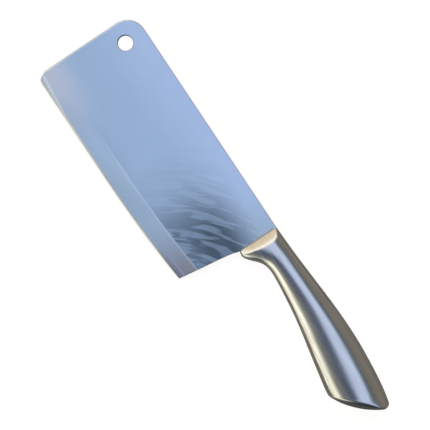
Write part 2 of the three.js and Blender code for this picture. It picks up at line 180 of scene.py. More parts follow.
def handle_point(s, angle, inset=0.0):
    """Points on the handle's skin: angle 0 is the back, a quarter turn the +Z side."""
    s, angle = np.broadcast_arrays(np.asarray(s, float), np.asarray(angle, float))
    top, foot = rails(s)
    chord = top - foot
    height = np.linalg.norm(chord, axis=-1)
    along = chord / height[..., None]
    power = 2 / fullness(s)
    rise = signed_power(np.cos(angle), power)
    out = signed_power(np.sin(angle), power)
    crown = crown_shift(s)
    semi = height / 2 * (1 - crown * np.sign(rise)) - inset
    centre = foot + along * (height / 2 * (1 + crown))[..., None]
    flat = centre + along * (semi * rise)[..., None]
    return np.stack([flat[..., 0], flat[..., 1], out * (half_thickness(s) - inset)], -1)


rim_top, rim_foot = rails(np.array(HANDLE_LENGTH))
rim_centre = (rim_top + rim_foot) / 2
rim_along = (rim_top - rim_foot) / np.linalg.norm(rim_top - rim_foot)
RIM_NORMAL = np.array([rim_along[1], -rim_along[0], 0.0])
print("rim leans", round(math.degrees(math.atan2(rim_along[1], rim_along[0])), 1), "degrees")

# %% [markdown]
# A closed skin is a stack of rings with the same number of points, joined by quads. The small helpers here
# turn rings into a mesh, put it at the drawing's origin, and check that it is closed and faces outwards.

# %% Helpers that make and test meshes
SMOOTH_BELOW = math.radians(32)  # edges sharper than this stay crisp
CUBIC_MM = MM**3


def new_object(name, data):
    made = bpy.data.objects.new(name, data)
    bpy.context.scene.collection.objects.link(made)
    return made


def report(piece):
    """Prints a piece's triangles, its open edges and its volume, which is above 0 if its faces look out."""
    work = bmesh.new()
    work.from_mesh(piece.data)
    open_edges = sum(not e.is_manifold for e in work.edges)
    volume = work.calc_volume(signed=True)
    triangles = sum(len(f.verts) - 2 for f in work.faces)
    work.free()
    print(f"{piece.name}: {triangles} triangles, {open_edges} open edges, {volume / CUBIC_MM:.0f} mm3")


def new_piece(name, mesh, node, material):
    """Turns a mesh drawn about ORIGIN into a smooth piece with crisp edges that stands for a CAD node."""
    mesh.transform(Matrix.Translation(ORIGIN))
    mesh.materials.clear()
    mesh.materials.append(material)
    mesh.shade_smooth()
    mesh.set_sharp_from_angle(angle=SMOOTH_BELOW)
    piece = new_object(name, mesh)
    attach(piece, "root")
    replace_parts(piece, node)
    report(piece)


def rings_mesh(name, rings, ends="fan"):
    """Quads between neighbouring rings. The ends are closed by a fan, or the last ring joins the first."""
    rings = np.asarray(rings, float)
    count, around = rings.shape[:2]
    points = [tuple(p) for p in rings.reshape(-1, 3)]
    faces = []
    rows = count if ends == "loop" else count - 1
    for i in range(rows):
        a, b = i * around, ((i + 1) % count) * around
        for j in range(around):
            k = (j + 1) % around
            faces.append((a + j, a + k, b + k, b + j))
    if ends == "fan":
        for ring, start, flip in ((rings[0], 0, True), (rings[-1], (count - 1) * around, False)):
            points.append(tuple(ring.mean(0)))
            for j in range(around):
                edge = (start + j, start + (j + 1) % around)
                faces.append((*(edge[::-1] if flip else edge), len(points) - 1))
    mesh = bpy.data.meshes.new(name)
    mesh.from_pydata(points, [], faces)
    mesh.validate()
    return mesh

# %% [markdown]
# Materials and geometry trees are both made of nodes, and long chains of Math nodes are hard to read. This
# small class wraps one output socket. Arithmetic on it adds the Math nodes, and node() adds any other kind.

# %% A socket that can be used in expressions
def arithmetic(operation):
    return lambda wire, other: wire.math(operation, other)


class Wire:
    __add__, __sub__ = arithmetic("ADD"), arithmetic("SUBTRACT")
    __mul__, __truediv__ = arithmetic("MULTIPLY"), arithmetic("DIVIDE")

    def __init__(self, tree, socket):
        self.tree = tree
        self.socket = socket

    def __rsub__(self, other):
        return (self * -1) + other

    def __rtruediv__(self, other):
        return node(self.tree, "ShaderNodeMath", {0: other, 1: self}, operation="DIVIDE")

    def math(self, operation, *others, clamp=False):
        inputs = dict(enumerate((self, *others)))
        return node(self.tree, "ShaderNodeMath", inputs, operation=operation, use_clamp=clamp)

    def vector(self, operation, other):
        key = "Scale" if operation == "SCALE" else 1
        return node(self.tree, "ShaderNodeVectorMath", {0: self, key: other}, operation=operation)

    def out(self, name):
        """Another output of the same node."""
        return Wire(self.tree, self.socket.node.outputs[name])

    def xyz(self):
        split = node(self.tree, "ShaderNodeSeparateXYZ", {0: self})
        return split, split.out("Y"), split.out("Z")

    def clamp(self):
        return self.math("ADD", 0.0, clamp=True)

    def signed_power(self, power):
        return self.math("ABSOLUTE").math("POWER", power) * self.math("SIGN")

    def smooth(self, low, high):
        """0 below low, 1 above high and smooth between them; low may be the larger."""
        first, last = (0.0, 1.0) if low < high else (1.0, 0.0)
        inputs = {0: self, 1: min(low, high), 2: max(low, high), 3: first, 4: last}
        return node(self.tree, "ShaderNodeMapRange", inputs, interpolation_type="SMOOTHSTEP")

    def over(self, low, high):
        """smooth() between two lengths in millimetres."""
        return self.smooth(low * MM, high * MM)


def node(tree, kind, inputs=None, **settings):
    """Adds a node, sets its settings first, then its sockets' values or links; returns its first output."""
    made = tree.nodes.new(kind)
    for key, value in settings.items():
        if key == "stops":
            ramp = made.color_ramp
            while len(ramp.elements) < len(value):
                ramp.elements.new(0.5)
            for element, (place, colour) in zip(ramp.elements, value):
                element.position = place
                element.color = (*colour, 1)
        else:
            setattr(made, key, value)
    for key, value in (inputs or {}).items():
        if isinstance(value, Wire):
            tree.links.new(value.socket, made.inputs[key])
        else:
            made.inputs[key].default_value = value
    return Wire(tree, made.outputs[0]) if made.outputs else made


def linear(*display):
    """A display colour from 0 to 255 as the linear values that shaders use."""
    channels = (value / 255 for value in display)
    return tuple(c / 12.92 if c <= 0.04045 else ((c + 0.055) / 1.055) ** 2.4 for c in channels)


# %% [markdown]
# Every finish here starts from where a point is, and all unevenness is noise. Worked steel has a direction,
# so the noise is squeezed one way and drawn out the other. It has no seams, because it comes from the
# piece's own coordinates and not from an unwrapped map.

# %% Nodes that every steel finish uses
def new_material(name):
    material = bpy.data.materials.new(name)
    material.use_nodes = True
    material.node_tree.nodes.clear()
    return material, material.node_tree


def drawing_place(tree):
    """Object coordinates about the drawing's origin, so that finishes can follow the pieces' own sizes."""
    return node(tree, "ShaderNodeTexCoord").out("Object").vector("SUBTRACT", tuple(ORIGIN))


def stretched_noise(place, scale, detail=3.0, roughness=0.6, turn=0.0, distortion=0.0):
    """Noise with its own scale along X, Y and Z, after a turn about Z."""
    turned = node(place.tree, "ShaderNodeMapping", {"Vector": place, "Rotation": (0, 0, turn)})
    return node(place.tree, "ShaderNodeTexNoise", {
        "Vector": turned.vector("MULTIPLY", scale), "Scale": 1.0, "Detail": detail, "Roughness": roughness,
        "Distortion": distortion,
    })


def mix_colour(factor, first, second):
    """The first colour where factor is 0 and the second where it is 1."""
    target = node(factor.tree, "ShaderNodeMix", data_type="RGBA").socket.node
    for name, value in (("Factor_Float", factor), ("A_Color", first), ("B_Color", second)):
        socket = next(s for s in target.inputs if s.identifier == name)
        if isinstance(value, Wire):
            factor.tree.links.new(value.socket, socket)
        else:
            socket.default_value = (*value, 1)
    return Wire(factor.tree, next(s for s in target.outputs if s.identifier == "Result_Color"))


def scratches(place, turn, seed):
    """Sparse fine handling scratches along one direction: 1 on a scratch, 0 off it."""
    lines = stretched_noise(place.vector("ADD", (seed, seed, seed)), (90, 3600, 900), detail=1.0, turn=turn)
    return lines.smooth(0.70, 0.76)  # only the noise's highest peaks leave a mark


def steel_surface(colour, roughness, height):
    """Ends a steel finish: a metal shader with a little relief."""
    tree = colour.tree
    bump = node(tree, "ShaderNodeBump", {"Strength": 0.35, "Distance": 0.02 * MM, "Height": height})
    shader = node(tree, "ShaderNodeBsdfPrincipled",
                  {"Base Color": colour, "Metallic": 1.0, "Roughness": roughness, "Normal": bump})
    node(tree, "ShaderNodeOutputMaterial", {"Surface": shader})


# %% [markdown]
# The grip is polished satin: fine belt lines run along it, a cloudy unevenness shows where the belt pressed
# harder, and handling has left a few scratches. Long streaks on the flanks keep the wide reflections from
# looking painted. The welds were ground with the same belt, only a little coarser. The dome past the rim
# mirrors the dark side of the room, and that dark reflection is painted into the cap's colour there.

# %% Satin handle steel
SATIN = (0.81, 0.80, 0.785)
# the colour of the dome's painted dark reflection
DOME_PAINTED_REFLECTION = (0.11, 0.135, 0.15)
RIM_BLUR = 1.3 * MM


def past_rim_mask(place):
    """0 on the grip and 1 past the butt's rim; the change comes a little earlier towards the back."""
    from_rim = place.vector("SUBTRACT", (*rim_centre, 0))
    beyond = from_rim.vector("DOT_PRODUCT", tuple(RIM_NORMAL)).out("Value")
    up_rim = from_rim.vector("DOT_PRODUCT", (*rim_along, 0)).out("Value")
    earlier = up_rim.over(-11, -3) * 0.9 * MM
    return (beyond + earlier).smooth(-RIM_BLUR, RIM_BLUR)


def handle_finish(name, tint, base_roughness, line_depth, painted_dome_reflection=0.0):
    """Belt-ground steel. Given a dome share, all that lies beyond the butt's rim is painted that much towards
    a dark reflection.
    """
    material, tree = new_material(name)
    place = drawing_place(tree)
    lines = stretched_noise(place, (35, 4200, 4200), detail=4.0)
    bands = stretched_noise(place, (12, 420, 420), detail=2.0)
    clouds = stretched_noise(place, (45, 70, 70), detail=3.0)
    marks = scratches(place, 0.5, 3.1) + scratches(place, -0.35, 7.7)
    x, _, z = place.xyz()
    flank = z.math("ABSOLUTE").over(8, 5) * x.over(7, 15)
    streaks = (stretched_noise(place, (8, 640, 640), detail=1.0) - 0.5) * flank
    shade = (lines - 0.5) * 0.5 + (bands - 0.5) * 0.8 + (clouds - 0.5) * 0.3 + streaks * 3.2 + 0.5
    dark = tuple(c * 0.78 for c in tint)
    light = tuple(min(c * 1.18, 1.0) for c in tint)
    colour = mix_colour(shade.clamp(), dark, light)
    if painted_dome_reflection:
        # past the rim the colour is painted towards the dark reflection that the dome shows
        colour = mix_colour(past_rim_mask(place) * painted_dome_reflection, colour, DOME_PAINTED_REFLECTION)
    roughness = (clouds * 0.10 + bands * 0.08 + lines * 0.06 + marks * 0.08 + (base_roughness - 0.12)).clamp()
    steel_surface(colour, roughness, lines * line_depth + marks * -0.5)
    return material


handle_steel = handle_finish("satin_handle_steel", SATIN, 0.155, 0.6)
weld_steel = handle_finish("ground_weld_steel", (0.79, 0.78, 0.765), 0.19, 0.9)
bead_steel = handle_finish("unground_weld_steel", (0.42, 0.40, 0.38), 0.30, 0.3)
cap_steel = handle_finish("cap_steel", SATIN, 0.17, 0.6, painted_dome_reflection=0.68)
print("made", handle_steel.name, weld_steel.name, bead_steel.name, cap_steel.name)

# %% [markdown]
# The grip's skin follows one rule from the bolster to the butt, so Geometry Nodes make it. The input mesh
# holds only two rails of points: the tops of the sections, then their feet, with each section's thickness,
# squareness and crown stored on them. The tree lays out a grid, finds for each of its points the two rail
# points of its section, and moves it onto the superellipse between them. The same tree makes the half
# shells, the strips of weld and the rings: only the start and end angles differ. A strip that stops at the
# seam is trimmed by the angle at which the skin is SEAM_HALF away from the middle plane.

# %% The loft as a geometry tree
MERGE_WITHIN = 1e-6


def new_tree(name, output, inputs):
    """A geometry tree with one geometry output and its inputs, given as (name, kind of socket) pairs."""
    tree = bpy.data.node_groups.new(name, "GeometryNodeTree")
    for title, kind in inputs:
        tree.interface.new_socket(name=title, in_out="INPUT", socket_type="NodeSocket" + kind)
    tree.interface.new_socket(name=output, in_out="OUTPUT", socket_type="NodeSocketGeometry")
    return tree, node(tree, "NodeGroupInput")


def stored(tree, name):
    return node(tree, "GeometryNodeInputNamedAttribute", {"Name": name})


def sampled(tree, geometry, value, index, kind):
    inputs = {"Geometry": geometry, "Value": value, "Index": index}
    return node(tree, "GeometryNodeSampleIndex", inputs, data_type=kind)


def loft_tree():
    tree, given = new_tree("loft_between_rails", "Skin", (
        ("Rails", "Geometry"), ("Sections", "Int"), ("Points around", "Int"), ("From", "Float"),
        ("To", "Float"), ("From trim", "Float"), ("To trim", "Float"), ("Material", "Material"),
    ))
    rail_points = given.out("Rails")
    sections = given.out("Sections")
    around = given.out("Points around")

    grid = node(tree, "GeometryNodeMeshGrid", {"Vertices X": sections, "Vertices Y": around})
    index = node(tree, "GeometryNodeInputIndex")
    section = (index / around + 0.0001).math("FLOOR")  # a whole quotient may come out a hair too small
    share = (index - section * around) / (around - 1)
    position = node(tree, "GeometryNodeInputPosition")
    top = sampled(tree, rail_points, position, section, "FLOAT_VECTOR")
    foot = sampled(tree, rail_points, position, section + sections, "FLOAT_VECTOR")
    half, square, crown = (
        sampled(tree, rail_points, stored(tree, name), section, "FLOAT")
        for name in ("half_thickness", "fullness", "crown")
    )

    seam = (SEAM_HALF / half).math("POWER", square / 2).math("ARCSINE")
    start = given.out("From") + given.out("From trim") * seam
    end = given.out("To") + given.out("To trim") * seam
    angle = start + (end - start) * share
    rise = angle.math("COSINE").signed_power(2 / square)
    out = angle.math("SINE").signed_power(2 / square)
    chord = top.vector("SUBTRACT", foot)
    centre = foot.vector("ADD", chord.vector("SCALE", (crown + 1) * 0.5))
    reach = (1 - crown * rise.math("SIGN")) * 0.5 * rise
    flat = centre.vector("ADD", chord.vector("SCALE", reach))
    moved = flat.vector("ADD", node(tree, "ShaderNodeCombineXYZ", {"Z": out * half}))

    skin = node(tree, "GeometryNodeSetPosition", {"Geometry": grid, "Position": moved})
    merged = node(tree, "GeometryNodeMergeByDistance", {"Geometry": skin, "Distance": MERGE_WITHIN})
    painted = node(tree, "GeometryNodeSetMaterial", {"Geometry": merged, "Material": given.out("Material")})
    node(tree, "NodeGroupOutput", {"Skin": painted})
    return tree


LOFT = loft_tree()
print("loft tree:", len(LOFT.nodes), "nodes")


# %% [markdown]
# A geometry tree needs an object to run on. The rails get one as their carrier, the tree and a Solidify run
# on it as modifiers, and only the plain result is kept. Solidify turns the open skin into a closed wall of
# even thickness, as a pressed sheet has.

# %% Running a geometry tree on a mesh
def run_tree(name, tree, mesh, values, after=()):
    """Gives a mesh the tree as a modifier, sets its inputs by identifier, and returns the plain result."""
    carrier = new_object(name + "_carrier", mesh)
    modifier = carrier.modifiers.new("tree", "NODES")
    modifier.node_group = tree
    for item in tree.interface.items_tree:
        if item.in_out == "INPUT" and item.name in values:
            modifier[item.identifier] = values[item.name]
    for kind, settings in after:
        extra = carrier.modifiers.new(kind.lower(), kind)
        for key, value in settings.items():
            setattr(extra, key, value)
    evaluated = carrier.evaluated_get(bpy.context.evaluated_depsgraph_get())
    result = bpy.data.meshes.new_from_object(evaluated)
    result.name = name
    bpy.data.objects.remove(carrier)
    return result


def rails_mesh(name, start, end, sections):
    """The two rails between two places along the handle, with the sections' values on their points."""
    s = np.linspace(start, end, sections)
    top, foot = rails(s)
    points = np.zeros((2 * sections, 3))
    points[:sections, :2] = top
    points[sections:, :2] = foot
    mesh = bpy.data.meshes.new(name)
    mesh.from_pydata([tuple(p) for p in points], [], [])
    values = {"half_thickness": half_thickness(s), "fullness": fullness(s), "crown": crown_shift(s)}
    for key, value in values.items():
        attribute = mesh.attributes.new(key, "FLOAT", "POINT")
        attribute.data.foreach_set("value", np.tile(value, 2).astype(np.float32))
    return mesh


def lofted(name, span, sections, around, angles, trims, material):
    """A closed wall that follows the handle's skin between two places and two angles."""
    values = {
        "Sections": sections, "Points around": around, "From": angles[0], "To": angles[1],
        "From trim": float(trims[0]), "To trim": float(trims[1]), "Material": material,
    }
    wall = {"thickness": WALL, "offset": -1.0, "use_even_offset": True, "use_rim": True}
    mesh = rails_mesh(name, *span, sections)
    return run_tree(name, LOFT, mesh, values, [("SOLIDIFY", wall)])


# %% [markdown]
# The real grip is two pressed halves, welded along the back and the belly, with a ring of weld at each end.
# All six are walls on the same skin. An angle pair says where each runs to and from, and a trim of 1 or -1
# moves that end to one side of the seam or the other.

# %% The grip: two half shells, two seams and two ring welds
SHELL_START = BOLSTER_LENGTH + RING_WELD
CAP_START = HANDLE_LENGTH - 2.2 * MM
BUTT_WELD = 1.1 * MM
SHELL_END = CAP_START - BUTT_WELD
GRIP_SPAN = (SHELL_START, SHELL_END)
GRIP_SECTIONS = 150
walls = (  # name, ending, span, sections, points around, angles, trims, material
    ("handle_shell_left", "skin", GRIP_SPAN, GRIP_SECTIONS, 110, (math.pi, 0.0), (-1, 1), handle_steel),
    ("handle_shell_right", "skin", GRIP_SPAN, GRIP_SECTIONS, 110, (TURN, math.pi), (-1, 1), handle_steel),
    ("spine_seam_weld", "bead", GRIP_SPAN, GRIP_SECTIONS, 9, (0.0, 0.0), (1, -1), weld_steel),
    ("belly_seam_weld", "bead", GRIP_SPAN, GRIP_SECTIONS, 9, (math.pi, math.pi), (1, -1), weld_steel),
    ("bolster_ring_weld", "bead", (BOLSTER_LENGTH, SHELL_START), 4, 241, (TURN, 0.0), (0, 0), weld_steel),
    ("butt_ring_weld", "bead", (SHELL_END, CAP_START), 4, 241, (TURN, 0.0), (0, 0), weld_steel),
)
for name, ending, span, sections, around, turns, trims, steel in walls:
    mesh = lofted(name, span, sections, around, turns, trims, steel)
    slot = "handle_steel" if ending == "skin" else "weld_steel"
    new_piece(f"{name}_{ending}", mesh, name, steel)

# %% [markdown]
# The bolster is one stack of rings that starts and ends in its slot for the tang: out over the front face,
# along the head, down the shoulder, along the spigot that the shells slide over, and back through the slot.
# The head is ground away on both sides by a plane that starts close to the blade and leans out at NOSE_ANGLE.
# Where the plane leaves the round head it draws the bright crescent at the guard. A power mean of the two
# shapes joins them, because its edge can be as crisp as it needs and it never goes below zero.

# %% The bolster
NOSE_HALF = 1.9 * MM
NOSE_ANGLE = math.radians(38)
NOSE_BULGE = 22  # per metre: how much steeper the plane starts, up to BULGE_END
BULGE_END = 6 * MM
LOBE_FLATTER = 0.40
CREST = 8  # the higher, the crisper the edge between the head and a nose plane
FRONT_ROUND = 0.35 * MM
SLOT_MIDDLE, SLOT_HALF_HEIGHT, SLOT_HALF_WIDTH = -9.6 * MM, 6.3 * MM, 1.2 * MM
SLOT_POWER = 2 / 14  # nearly a rectangle
SPIGOT_END = BOLSTER_LENGTH + 7 * MM
AROUND = 180
angles = np.linspace(0, TURN, AROUND, endpoint=False)


def smoothstep(share):
    """Runs smoothly from 0 to 1 and stays level beyond both ends."""
    share = np.clip(share, 0, 1)
    return share**2 * (3 - 2 * share)


def head_ring(x, inset):
    """The head at x, ground by the two nose planes, which turn flatter over the lobe of the guard."""
    ring = handle_point(x, angles, inset)
    lobe = smoothstep((-np.cos(angles) - 0.50) / 0.45)
    slope = math.tan(NOSE_ANGLE) * (1 - LOBE_FLATTER * lobe)
    ground = NOSE_HALF - inset + x * slope * (1 + NOSE_BULGE * (BULGE_END - x))
    out = np.abs(ring[:, 2])
    ring[:, 2] *= ground / (out**CREST + ground**CREST) ** (1 / CREST)
    return ring


def slot_ring(x):
    y = SLOT_MIDDLE + SLOT_HALF_HEIGHT * signed_power(np.cos(angles), SLOT_POWER)
    z = SLOT_HALF_WIDTH * signed_power(np.sin(angles), SLOT_POWER)
    return np.stack([np.full(AROUND, x), y, z], -1)


rings = [slot_ring(0.0)]
for turn in np.linspace(0, math.pi / 2, 6):
    rings.append(head_ring(FRONT_ROUND * (1 - math.cos(turn)), FRONT_ROUND * (1 - math.sin(turn))))
rings += [head_ring(x, 0.0) for x in np.linspace(0.5 * MM, BOLSTER_LENGTH, 64)]
rings += [handle_point(x, angles, WALL + FIT_GAP) for x in np.linspace(BOLSTER_LENGTH, SPIGOT_END, 3)]
rings.append(slot_ring(SPIGOT_END))
new_piece("bolster_body", rings_mesh("bolster", rings, ends="loop"), "bolster", handle_steel)

# %% [markdown]
# The butt cap is a spun dome on a short skirt, with a lip that slides into the shells. Its skin is a scaled
# copy of the slanted rim that rises towards the middle. A short curve rounds the rim: tight at the back and
# the sides, wide at the belly.

# %% The butt cap
CAP_RISE = 3.3 * MM
CAP_SHEET = 1.3 * MM
LIP_START = CAP_START - 3 * MM
ROUND_BEFORE = 1.9 * MM  # the rounding starts this far before the rim
ROUND_PAST = 2.3 * MM  # and ends this far past it, plus one of these
MORE_AT_BACK, MORE_AT_BELLY = 0.2 * MM, 4.7 * MM
up = np.cos(angles)[:, None]
past_rim = ROUND_PAST + np.where(up > 0, MORE_AT_BACK, MORE_AT_BELLY) * up**2
rim = handle_point(HANDLE_LENGTH, angles)
rim_middle = np.append(rim_centre, 0)
rim_radius = np.linalg.norm(rim - rim_middle, axis=1)[:, None]


def dome_ring(share):
    """The rim drawn in to a share of its size and raised along the rim's normal."""
    return rim_middle + (rim - rim_middle) * share + RIM_NORMAL * CAP_RISE * (1 - share**2)


def cap_skin():
    """The skirt, a quadratic curve round the rim, and the dome."""
    start = handle_point(HANDLE_LENGTH - ROUND_BEFORE, angles)
    inner_share = 1 - past_rim / rim_radius
    end = dome_ring(inner_share)
    skin = [handle_point(CAP_START, angles), (handle_point(CAP_START, angles) + start) / 2]
    for t in np.linspace(0, 1, 9):
        skin.append(start * (1 - t) ** 2 + rim * 2 * t * (1 - t) + end * t**2)
    for t in np.linspace(1, 0.02, 26)[1:]:
        skin.append(dome_ring(inner_share * t))
    return skin


def cap_inside():
    """From the lip's inner end to the dome's inner face, which runs CAP_SHEET under the skin."""
    dome = [dome_ring(t) - RIM_NORMAL * CAP_SHEET for t in np.linspace(0.86, 0.02, 12)]
    return lip(2 * WALL + FIT_GAP) + dome


def lip(inset):
    return [handle_point(x, angles, inset) for x in (LIP_START, CAP_START)]


rings = cap_inside()[::-1] + lip(WALL + FIT_GAP) + cap_skin()
new_piece("butt_cap_dome", rings_mesh("butt_cap", rings), "butt_cap", cap_steel)

# %% [markdown]
# The blade is a fine grid on each side. Its thickness follows the height above the cutting edge: the honed
# bevel, the grind, then flat steel. The grind's shoulder is crisp at the heel and fades towards the tip,
# where the grinder lifted off. The outer rim is eased by a small radius, apart from the cutting edge.

# %% Outline and thickness of the blade
BLADE_HEIGHT = 75.15 * MM
EDGE_STRAIGHT_TO = -92 * MM  # from the tip to here the cutting edge is straight
EDGE_RISE_LENGTH = 82 * MM  # over this length it then rises
EDGE_RISE = 3.65 * MM  # by this much
EDGE_RISE_POWER = 2.27
GRIND_HEIGHT = 13.3 * MM
BEVEL_SLOPE = math.tan(math.radians(27))
EDGE_HALF = 0.075 * MM
TIP_RADIUS = 13 * MM
TOE_RADIUS = 6.5 * MM
EASE = 0.3 * MM  # the radius that eases the outer rim
TIP_WEAR = 1.1 * MM  # the far end is worn round over this width
WEAR_DEPTH = 0.22 * MM
THIN_HALF, THIN_MORE = 0.55 * MM, 0.25 * MM  # half the steel above the bevel, and the far end's extra
CRISP_SHOULDER, SOFT_SHOULDER = 0.02 * MM, 0.3 * MM  # the grind's shoulder at the heel, and the tip's extra
BOLSTER_FOOT = -28.6 * MM
# at a depth below the spine, how far the heel lies ahead of the bolster's front face
heel_back = spline(in_mm((28.6, 0), (30.2, 0.5), (32.2, 1.15), (35, 1.8), (50, 4.07), (75, 7.85)))


def soft_min(a, b, width):
    """The smaller of two values, with the corner between them rounded over about the width."""
    return (a + b - np.sqrt((a - b) ** 2 + width**2)) / 2


def edge_line(x):
    rise = np.maximum((x - EDGE_STRAIGHT_TO) / EDGE_RISE_LENGTH, 0) ** EDGE_RISE_POWER
    return -BLADE_HEIGHT + EDGE_RISE * rise


def tip_line(y):
    """The outline's far end, with its two round corners."""
    toe_y = edge_line(-BLADE_LENGTH) + TOE_RADIUS
    high = np.sqrt(np.maximum(TIP_RADIUS**2 - np.maximum(y + TIP_RADIUS, 0) ** 2, 0))
    low = np.sqrt(np.maximum(TOE_RADIUS**2 - np.minimum(y - toe_y, 0) ** 2, 0))
    return -BLADE_LENGTH + TIP_RADIUS - high + TOE_RADIUS - low


def heel_line(y):
    return -np.where(y > BOLSTER_FOOT, 0.0, heel_back(-y))


def rim_distance(x, y):
    """How far a point lies inside the spine, the tip and the free part of the heel."""
    corner_x = -BLADE_LENGTH + TIP_RADIUS
    beyond = np.hypot(np.minimum(x - corner_x, 0), np.maximum(y + TIP_RADIUS, 0))
    in_corner = (x < corner_x) & (y > -TIP_RADIUS)
    inside = np.where(in_corner, TIP_RADIUS - beyond, np.minimum(-y, x + BLADE_LENGTH))
    heel = np.where(y > BOLSTER_FOOT - 0.2 * MM, 1.0, heel_line(y) - x)
    return np.clip(np.minimum(inside, heel), 0, 1)


def blade_half(x, y):
    """Half the blade's thickness: the least of its bevel, its grind and the flat sheet, eased at the rim."""
    height = y - edge_line(x)
    thin = THIN_HALF + THIN_MORE * smoothstep((-75 * MM - x) / (80 * MM))
    bevel_height = (thin - EDGE_HALF) / BEVEL_SLOPE
    grind = thin + (height - bevel_height) * (BLADE_HALF - thin) / (GRIND_HEIGHT - bevel_height)
    bevel = EDGE_HALF + height * BEVEL_SLOPE
    softness = CRISP_SHOULDER + SOFT_SHOULDER * smoothstep((-55 * MM - x) / (65 * MM))
    half = np.minimum(bevel, soft_min(grind, BLADE_HALF, softness))
    away = np.clip(1 - rim_distance(x, y) / EASE, 0, 1)
    worn = np.clip(1 - (x - tip_line(y)) / TIP_WEAR, 0, 1)
    drop = EASE * (1 - np.sqrt(1 - away**2)) + WEAR_DEPTH * worn**1.5
    return half - np.minimum(drop, half * 0.6)


# %% [markdown]
# One grid of points covers a side of the blade, from the edge to the spine and from the tip to the heel. Its
# rows lie close together where the shape bends: at the honed bevel, at the shoulder of the grind and in the
# spine's easing. Towards the tip and the heel the points of a row crowd together in the same way.

# %% The blade's grid
lower_rows = [0, 0.3, 0.6, 0.85, 1, 1.12, 1.25, 1.4, 1.55, 1.7, 1.85, 2, 2.4, 3.2, 4.5, 6, 8, 9.5, 10.8]
shoulder_rows = [11.6, 12.3, 12.8, 13.1, 13.3, 13.5, 13.8, 14.3, 15]
heights = np.array(lower_rows + shoulder_rows) * MM
round_steps = TIP_RADIUS * (1 - np.cos(np.linspace(0, math.pi / 2, 21)))
depths = np.unique(np.concatenate([round_steps, np.array([0.1, 0.23, 0.3, 0.48]) * MM]))
near = np.array([0, 0.04, 0.12, 0.22, 0.3, 0.45, 0.65, 0.85, 1.1, 1.8, 3]) * MM
MIDDLE_POINTS = 108  # in each row, between the crowded ends


def row_points(y_at):
    """One row from tip to heel, whose y follows from x."""
    crowd = len(near)
    x = np.linspace(-BLADE_LENGTH, 0, 2 * crowd + MIDDLE_POINTS)
    for _ in range(6):  # y depends on x and the row's ends on y, so both settle in a few rounds
        y = y_at(x)
        start, end = tip_line(y), heel_line(y)
        middle = np.linspace(0, 1, MIDDLE_POINTS + 2)[1:-1]
        inner, outer = (start + near[-1])[crowd:-crowd], (end - near[-1])[crowd:-crowd]
        at_tip, at_heel = start[:crowd] + near, end[-crowd:] - near[::-1]
        x = np.concatenate([at_tip, inner + (outer - inner) * middle, at_heel])
    return np.stack([x, y], -1)


rows = [row_points(lambda x: edge_line(x) + h) for h in heights]
for t in np.linspace(0, 1, 26)[1:-1]:
    rows.append(row_points(lambda x: (edge_line(x) + heights[-1]) * (1 - t) - TIP_RADIUS * t))
rows += [row_points(lambda x: np.full_like(x, -d)) for d in depths[::-1]]
grid = np.array(rows)
thick = blade_half(grid[..., 0], grid[..., 1])
thinnest, thickest = round(thick.min() / MM, 3), round(thick.max() / MM, 3)
print("blade grid", grid.shape[:2], "half thickness", thinnest, "to", thickest, "mm")

# %% [markdown]
# The grid becomes the front and, mirrored, the back. A strip of quads along its border closes the two into
# one body.

# %% The blade's closed body
def sheet_faces(shape, start, flip):
    index = start + np.arange(shape[0] * shape[1]).reshape(shape)
    quads = np.stack([index[:-1, :-1], index[:-1, 1:], index[1:, 1:], index[1:, :-1]], -1).reshape(-1, 4)
    return [tuple(q[::-1] if flip else q) for q in quads.tolist()]


def grid_border(shape):
    index = np.arange(shape[0] * shape[1]).reshape(shape)
    return np.concatenate([index[0, :-1], index[:-1, -1], index[-1, :0:-1], index[:0:-1, 0]])


def blade_mesh():
    shape = grid.shape[:2]
    front = np.concatenate([grid, thick[..., None]], -1).reshape(-1, 3)
    back = front * (1, 1, -1)
    faces = sheet_faces(shape, 0, False) + sheet_faces(shape, len(front), True)
    border = grid_border(shape)
    for a, b in zip(border, np.roll(border, -1)):
        faces.append((int(b), int(a), int(a) + len(front), int(b) + len(front)))
    mesh = bpy.data.meshes.new("blade")
    mesh.from_pydata(np.concatenate([front, back]).tolist(), [], faces)
    mesh.validate()
    return mesh


# %% [markdown]
# The hole is punched, then deburred, so its cutter is a cylinder that flares at both faces. The tang is the
# stub that the bolster holds. Exact booleans cut the one and add the other, which keeps the body closed.

# %% The blade with its hole and its tang
HOLE_X, HOLE_Y, HOLE_RADIUS = -BLADE_LENGTH + 14.2 * MM, -15.2 * MM, 5 * MM
CUT_PAST = 1 * MM  # the cutter reaches this far past each face
CHAMFER = 0.28 * MM
TANG_HALF = 1 * MM
TANG_LOW, TANG_HIGH = -15.6 * MM, -3.6 * MM
TANG_START, TANG_END = -5 * MM, 38 * MM
TANG_CORNER = 2.5 * MM


def prism(name, outlines):
    """A closed body from (z, outline) pairs."""
    return rings_mesh(name, [[(x, y, z) for x, y in outline] for z, outline in outlines])


def circle(x, y, radius, count=96):
    turns = np.linspace(0, TURN, count, endpoint=False)
    return [(x + radius * math.cos(t), y + radius * math.sin(t)) for t in turns]


def combine(mesh, other, operation):
    """An exact boolean between two meshes."""
    holder, tool = new_object("holder", mesh), new_object("tool", other)
    modifier = holder.modifiers.new("combine", "BOOLEAN")
    modifier.operation = operation
    modifier.solver = "EXACT"
    modifier.object = tool
    evaluated = holder.evaluated_get(bpy.context.evaluated_depsgraph_get())
    result = bpy.data.meshes.new_from_object(evaluated)
    for item in (holder, tool):
        bpy.data.objects.remove(item)
    return result


